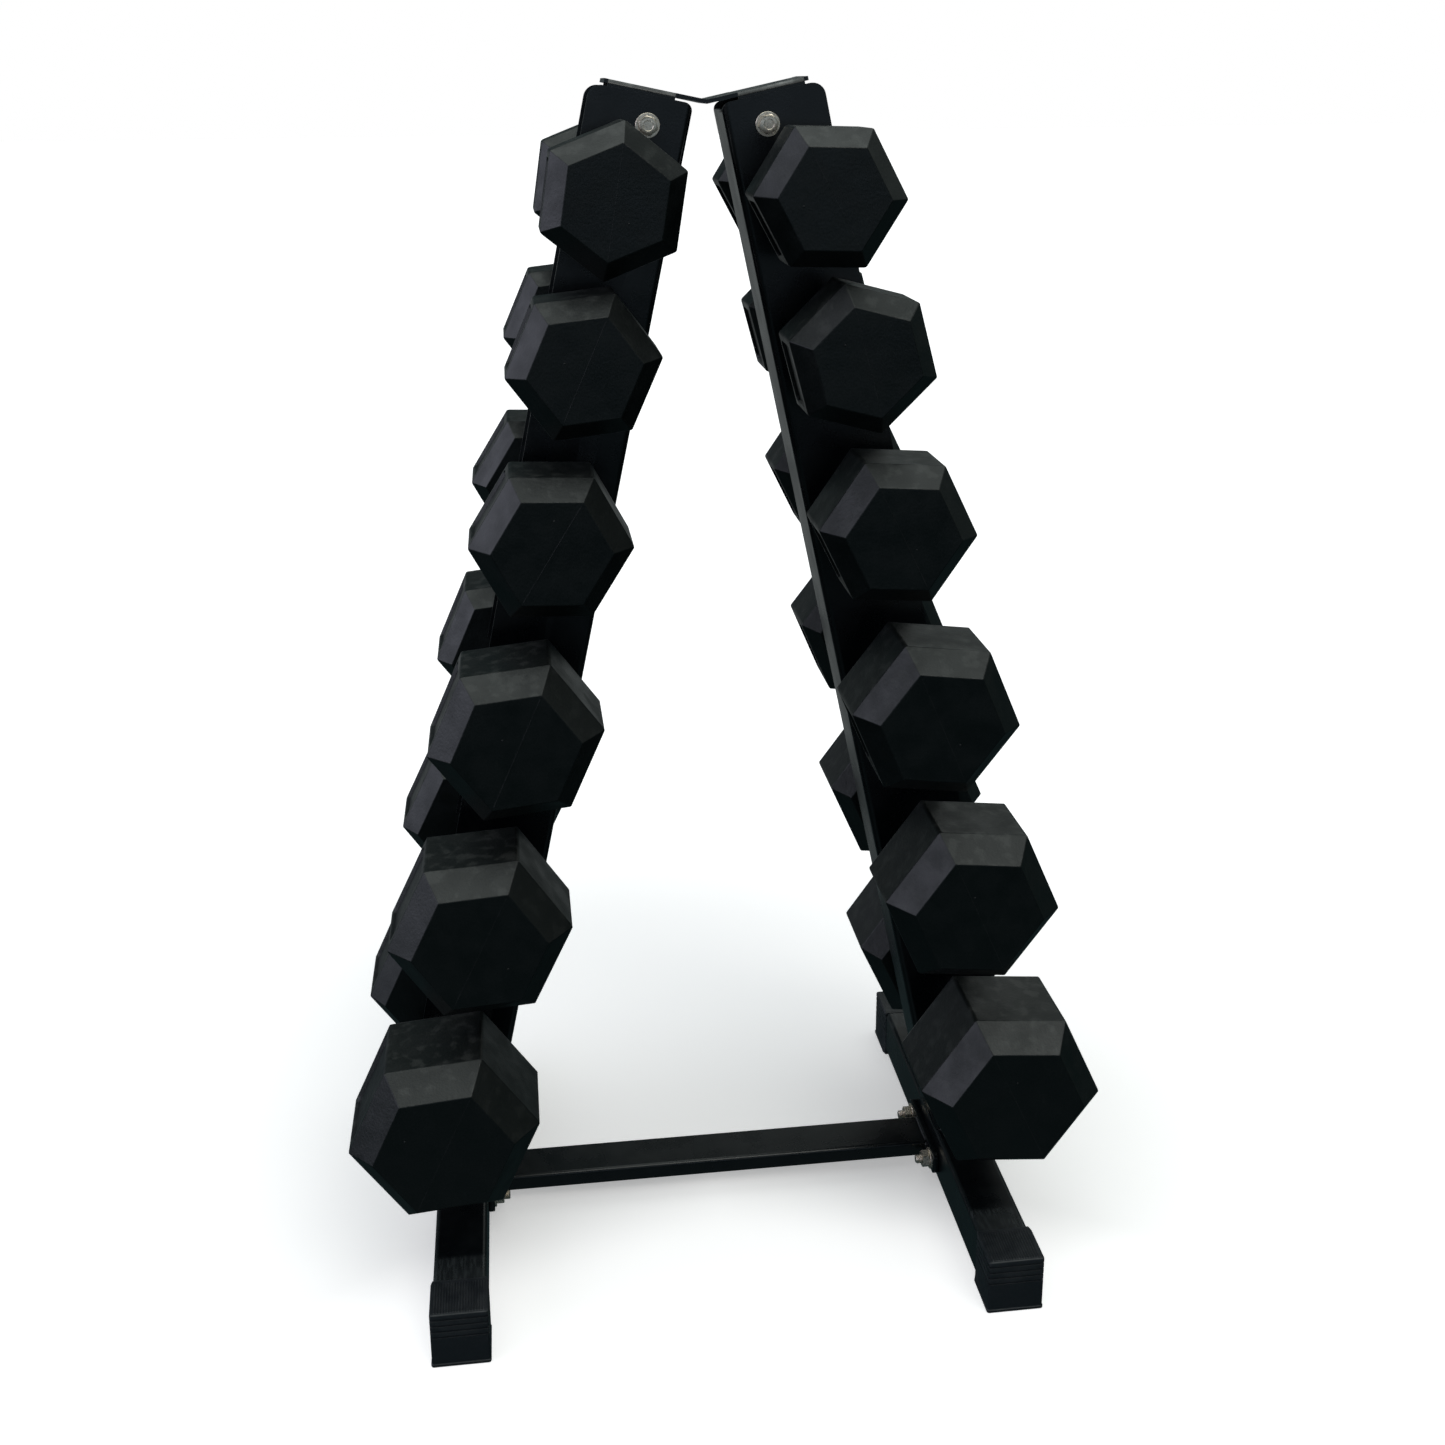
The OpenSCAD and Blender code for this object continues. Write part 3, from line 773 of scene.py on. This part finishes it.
def add_fasteners(material):
    """Four bolts at the top and four at the base, with their washers and nuts."""
    base_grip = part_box("right_foot_tube")[1].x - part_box("right_crossbar_plate")[0].x
    for group, axis, grip in (("top", "Y", TOP_GRIP), ("base", "X", base_grip)):
        places, radius = group_places(f"{group}_washers", axis)
        bolts, washers, nuts = bmesh.new(), bmesh.new(), bmesh.new()
        for index, place in enumerate(places):
            spin = Matrix.Rotation(math.radians(SPIN_STEP * index + SPIN_START), 4, "Z")
            washer(washers, place, radius)
            head = place @ Matrix.Translation((0, 0, WASHER_HEIGHT)) @ spin
            hex_head(bolts, head)
            length = BOLT_LENGTH[group]
            threaded_shank(bolts, head, length, min(length - PLAIN_LENGTH, THREAD_LENGTH))
            under = grip
            if group == "base":     # a second washer, under the nut
                under += WASHER_HEIGHT
                washer(washers, place @ Matrix.Translation((0, 0, -under)), radius)
            nut = place @ Matrix.Translation((0, 0, -under - NUT_HEIGHT)) @ spin
            hex_nut(nuts, nut)
        for kind, bm in (("bolts", bolts), ("washers", washers), ("nuts", nuts)):
            add_piece(f"{group}_zinc_{kind}", bm, material, "rack", [f"{group}_{kind}"])


# ---- foot caps -------------------------------------------------------------

SHOULDER_RUN = 4 * MM       # slope at the cap's open end, up from the tube
SHOULDER_RISE = 1.8 * MM
CAP_CORNER = 2 * MM
CORNER_STEPS = 6
WALL_INSET = 0.5 * MM
GROOVE_INSET = 1.4 * MM
GROOVE_COUNT = 4
GROOVE_PITCH = 5.2 * MM
GROOVE_HALF = 0.9 * MM      # of its height
GROOVE_SLOPE = 0.3 * MM
RIB_COUNT = 19
RIB_PITCH = 2.1 * MM
RIB_RISE = 0.45 * MM
RIB_FOOT = 0.6 * MM         # half its width where it starts
RIB_CREST = 0.35 * MM       # half its width on top


def cap_levels(height):
    """(height, inset) from the sole up: a lip, a plain wall, four grooves and a rounded rim."""
    wall = WALL_INSET
    levels = [(0.0, 0.9 * MM), (0.5 * MM, 0.2 * MM), (1.1 * MM, 0.0), (2.6 * MM, 0.0),
              (3.2 * MM, wall)]
    for i in reversed(range(GROOVE_COUNT)):
        middle = height - (i + 1) * GROOVE_PITCH
        low, high = middle - GROOVE_HALF, middle + GROOVE_HALF
        levels += [(low, wall), (low + GROOVE_SLOPE, GROOVE_INSET),
                   (high - GROOVE_SLOPE, GROOVE_INSET), (high, wall)]
    top = height - RIB_RISE
    return levels + [(top - 1.2 * MM, wall), (top - 0.5 * MM, wall + 0.2 * MM),
                     (top, wall + 0.9 * MM)]


def add_foot_cap(side, end, material):
    """Ribbed plastic cap, drawn in levels from the floor up."""
    low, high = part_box(f"{side}_{end}_foot_cap")
    tube_low, tube_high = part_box(f"{side}_foot_tube")
    out = ENDS[end]
    middle, half = (low.x + high.x) / 2, (high.x - low.x) / 2
    length, height = high.y - low.y, high.z
    back = out * min(abs(low.y), abs(high.y))
    neck = (tube_high.x - tube_low.x) / 2 + 0.2 * MM

    def at(across, along, level):
        return Vector((middle + across, back + out * along, level))

    bm = bmesh.new()
    rings = []
    for level, inset in cap_levels(height):
        start = max(0.0, (level - tube_high.z) / SHOULDER_RISE * SHOULDER_RUN)
        wide, far = half - inset, length - inset
        right = [(min(neck, wide), start), (wide, start + SHOULDER_RUN)]
        for i in range(CORNER_STEPS + 1):
            angle = math.pi / 2 * i / CORNER_STEPS
            right.append((wide - CAP_CORNER * (1 - math.cos(angle)),
                          far - CAP_CORNER * (1 - math.sin(angle))))
        left = [(-across, along) for across, along in reversed(right)]
        rings.append([at(across, along, level) for across, along in right + left])
    skin(bm, rings)
    for i in range(RIB_COUNT):
        across = (i - (RIB_COUNT - 1) / 2) * RIB_PITCH
        near = SHOULDER_RUN + 1.5 * MM
        far = length - 2.2 * MM
        foot, crest = height - 2 * RIB_RISE, height
        rings = []
        for along, rise in ((near, 0.4), (near + 1 * MM, 1.0), (far - 0.6 * MM, 1.0), (far, 0.5)):
            level = foot + (crest - foot) * rise
            rings.append([at(across - RIB_FOOT, along, foot), at(across - RIB_CREST, along, level),
                          at(across + RIB_CREST, along, level), at(across + RIB_FOOT, along, foot)])
        skin(bm, rings)
    add_piece(f"{side}_{end}_end_cap", bm, material, "rack",
              [f"{side}_{end}_foot_cap"])


# ---- welds -----------------------------------------------------------------

FOOT_BEAD = 2.6 * MM        # radius
CROSSBAR_BEAD = 2.0 * MM
RIPPLE_PITCH = 2.2 * MM
BEAD_STEPS = 10             # round a bead


def weld_bead(bm, start, end, radius):
    """Rippled bead between two points."""
    run = end - start
    count = max(8, int(run.length / RIPPLE_PITCH) * 6)
    side = run.normalized().orthogonal().normalized()
    other = run.normalized().cross(side)
    rings = []
    for i in range(count + 1):
        t = i / count
        ripple = 0.5 + 0.5 * math.cos(TURN * (t * run.length / RIPPLE_PITCH) % TURN)
        taper = min(1.0, 0.35 + 8 * min(t, 1 - t))
        r = radius * (0.82 + 0.18 * ripple) * taper
        centre = start + run * t
        angles = [TURN * k / BEAD_STEPS for k in range(BEAD_STEPS)]
        rings.append([centre + r * (side * math.cos(a) + other * math.sin(a)) for a in angles])
    skin(bm, rings)


def add_welds(material):
    """Beads where the uprights stand on the feet and where the crossbar meets its end plates."""
    for side in SIDES:
        bm = bmesh.new()
        low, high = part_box(f"{side}_foot_tube")
        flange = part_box(f"{side}_upright")[1].y
        for y in (-1, 1):
            weld_bead(bm, Vector((low.x + 3 * MM, y * flange, high.z)),
                      Vector((high.x - 3 * MM, y * flange, high.z)), FOOT_BEAD)
        add_piece(f"{side}_foot_welds", bm, material, "rack")
        bm = bmesh.new()
        low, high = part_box("crossbar_tube")
        x = high.x if side == "right" else low.x
        for z in (low.z, high.z):
            weld_bead(bm, Vector((x, low.y + 2 * MM, z)), Vector((x, high.y - 2 * MM, z)),
                      CROSSBAR_BEAD)
        for y in (low.y, high.y):
            weld_bead(bm, Vector((x, y, low.z + 1 * MM)), Vector((x, y, high.z - 1 * MM)),
                      CROSSBAR_BEAD)
        add_piece(f"{side}_crossbar_welds", bm, material, "rack")


# ---- the rack --------------------------------------------------------------

SCUFF_AND_PAINTED_LIGHT_FROM = 134 * MM     # along a foot tube, from its middle to where it is scuffed and lightened as painted light

add_camera()
add_sky()
add_floor()

rubber = rubber_material()
powder = powder_material("powder_coat")
scuffed_painted_light_powder = powder_material("scuffed_painted_light_powder_coat", scuff_and_painted_light_from=SCUFF_AND_PAINTED_LIGHT_FROM)
# painted light: the top plate's top is made light grey as if lit from above
painted_top_light_powder = powder_material("painted_top_light_powder_coat", dust_and_light_share=0.95, dust_and_light_tone=0.26)
zinc = zinc_material()
plastic = plastic_material()
chrome = chrome_material()
iron = iron_material()

for side in SIDES:
    dress(f"{side}_upright", powder, edge=0.5 * MM)
    dress(f"{side}_foot_tube", scuffed_painted_light_powder, edge=0.4 * MM)
    dress(f"{side}_crossbar_plate", powder, edge=0.8 * MM)
    for end in ENDS:
        add_foot_cap(side, end, plastic)
dress("top_plate", painted_top_light_powder, edge=1.0 * MM)
dress("crossbar_tube", powder, edge=0.4 * MM)
add_welds(powder)
add_fasteners(zinc)

for side in SIDES:
    for row in ROWS:
        dumbbell = Dumbbell(side, row)
        dress(f"{dumbbell.body}_cores", iron)
        add_handle(dumbbell, chrome)
        for end in ENDS:
            add_head(dumbbell, end, rubber)
